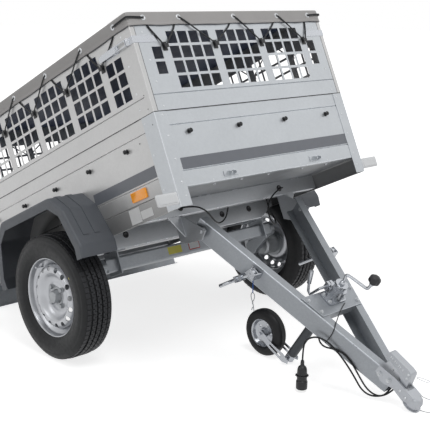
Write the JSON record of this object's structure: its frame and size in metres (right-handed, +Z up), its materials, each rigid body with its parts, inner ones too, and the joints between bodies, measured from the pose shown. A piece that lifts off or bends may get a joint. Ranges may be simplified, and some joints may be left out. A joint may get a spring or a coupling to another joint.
{
  "type": "utility trailer",
  "caption": "Parked single-axle utility trailer: tipped sheet-steel bed with punched mesh sides and flat cover, hinged V drawbar, ball coupling, jockey wheel.",
  "frame": {"origin": "on the ground, at the middle of the trailer's length and width", "axes": "+Z up, -Y towards the coupling, +X towards the trailer's left side"},
  "size_m": [1.456, 2.4952, 1.4537],
  "materials": {
    "sheet_zinc": "galvanised",
    "heavy_zinc": "hot-dip galvanised",
    "fittings": "zinc plated",
    "cast": "zinc coated",
    "ply": "film-faced",
    "cover_cloth": "coated",
    "knob_plastic": "satin",
    "amber": "gloss",
    "clear": "gloss",
    "lamp_plastic": "gloss",
    "guard_plastic": "grained",
    "rim_paint": "silver",
    "tyre_rubber": "matt",
    "jockey_rim_paint": "satin",
    "cable_rubber": "satin",
    "plug_plastic": "satin",
    "line_blue": "satin",
    "jockey_rubber": "matt"
  },
  "bodies": {
    "bed": {"front_board": "sheet_zinc", "tailgate_hinges": "heavy_zinc", "side_board_right": "sheet_zinc", "side_board_left": "sheet_zinc", "corner_posts": "sheet_zinc", "floor_panel": "ply", "cross_members": "heavy_zinc", "mesh_front": "sheet_zinc", "mesh_rear": "sheet_zinc", "mesh_right": "sheet_zinc", "mesh_left": "sheet_zinc", "corner_latches": "fittings", "cover": "cover_cloth", "cover_knobs": "knob_plastic", "cover_hooks": "fittings", "side_reflectors": "amber", "front_reflectors": "clear", "lamp_beam": "heavy_zinc", "tail_lamps": "lamp_plastic", "mudguard_right": "guard_plastic", "mudguard_left": "guard_plastic", "axle_beam": "heavy_zinc", "axle_brackets": "heavy_zinc", "swing_arms": "cast", "hinge_brackets": "heavy_zinc", "latch_brackets": "fittings", "feed_cable_right": "cable_rubber", "feed_cable_left": "cable_rubber"},
    "tailgate": {"tailgate": "sheet_zinc"},
    "wheel_right": {"tyre_right": "tyre_rubber", "rim_right": "rim_paint", "hub_right": "cast"},
    "wheel_left": {"tyre_left": "tyre_rubber", "rim_left": "rim_paint", "hub_left": "cast"},
    "drawbar": {"drawbar_beam_right": "heavy_zinc", "drawbar_beam_left": "heavy_zinc", "cross_plate": "heavy_zinc", "coupling_head": "cast", "coupling_handle": "cast", "swing_bolts": "fittings", "jockey_tube": "fittings", "jockey_crank": "fittings", "jockey_clamp": "cast", "clamp_lever": "fittings", "plug_cable": "cable_rubber", "inner_cable": "cable_rubber", "plug": "plug_plastic", "lanyard_right": "line_blue", "lanyard_left": "line_blue", "spring_clips": "fittings", "safety_cable": "fittings"},
    "jockey_leg": {"jockey_leg": "fittings"},
    "jockey_fork": {"jockey_fork": "fittings"},
    "jockey_wheel": {"jockey_rim": "jockey_rim_paint", "jockey_tyre": "jockey_rubber"}
  },
  "joints": [
    {"name": "wheel_right_spin", "type": "hinge", "parent": "bed", "child": "wheel_right", "pos_m": [-0.65, 0.15629, 0.269], "axis": [1, 0, 0], "continuous": true},
    {"name": "wheel_left_spin", "type": "hinge", "parent": "bed", "child": "wheel_left", "pos_m": [0.65, 0.15629, 0.269], "axis": [1, 0, 0], "continuous": true},
    {"name": "drawbar_hinge", "type": "hinge", "parent": "bed", "child": "drawbar", "pos_m": [0, -0.34761, 0.58911], "axis": [1, 0, 0], "range_deg": [-58.8, 4]},
    {"name": "tailgate_hinge", "type": "hinge", "parent": "bed", "child": "tailgate", "pos_m": [0, 0.91387, 0.16377], "axis": [-1, 0, 0], "range_deg": [0, 90]},
    {"name": "jockey_lift", "type": "slide", "parent": "drawbar", "child": "jockey_leg", "axis": [0, -0.556, 0.8311], "range_m": [-0.03, 0.095]},
    {"name": "jockey_swivel", "type": "hinge", "parent": "jockey_leg", "child": "jockey_fork", "pos_m": [0, -0.59222, 0.06452], "axis": [0, -0.556, 0.8311], "continuous": true},
    {"name": "jockey_spin", "type": "hinge", "parent": "jockey_fork", "child": "jockey_wheel", "pos_m": [0, -0.42545, 0.103], "axis": [1, 0, 0], "continuous": true}
  ]
}
